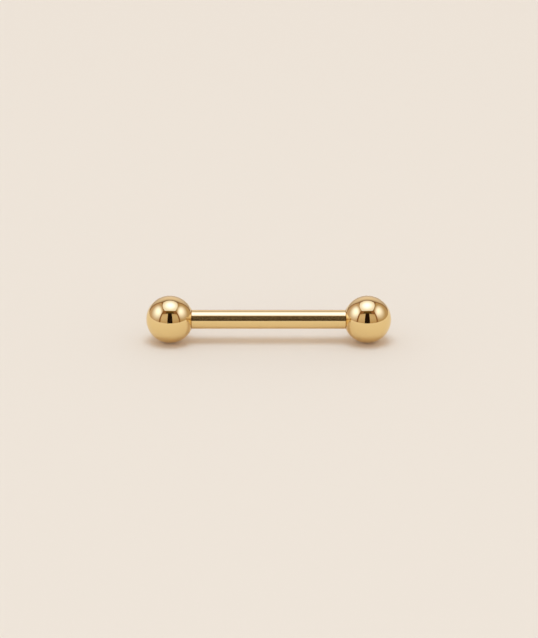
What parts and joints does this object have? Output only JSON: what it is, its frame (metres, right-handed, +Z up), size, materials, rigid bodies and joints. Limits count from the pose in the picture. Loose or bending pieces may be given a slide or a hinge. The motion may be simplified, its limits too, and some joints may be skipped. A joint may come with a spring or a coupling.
{
  "type": "straight nipple barbell",
  "caption": "Straight barbell for a nipple piercing: a slim round post with an internal thread in each end, and a larger polished ball that screws into each.",
  "frame": {"origin": "on the surface that the barbell lies on, below the middle of its post", "axes": "+X along the post from the left ball to the right ball, +Z up; the picture looks along +Y from above"},
  "size_m": [0.0206, 0.004, 0.004],
  "materials": {
    "polished_gold": "mirror polish, warm yellow gold colour"
  },
  "bodies": {
    "post": {"post": "polished_gold"},
    "ball_left": {"ball_left": "polished_gold"},
    "ball_right": {"ball_right": "polished_gold"}
  },
  "joints": [
    {"name": "ball_left_unscrew", "type": "slide", "parent": "post", "child": "ball_left", "axis": [-1, 0, 0], "range_m": [0, 0.017]},
    {"name": "ball_right_unscrew", "type": "slide", "parent": "post", "child": "ball_right", "axis": [1, 0, 0], "range_m": [0, 0.017]}
  ]
}
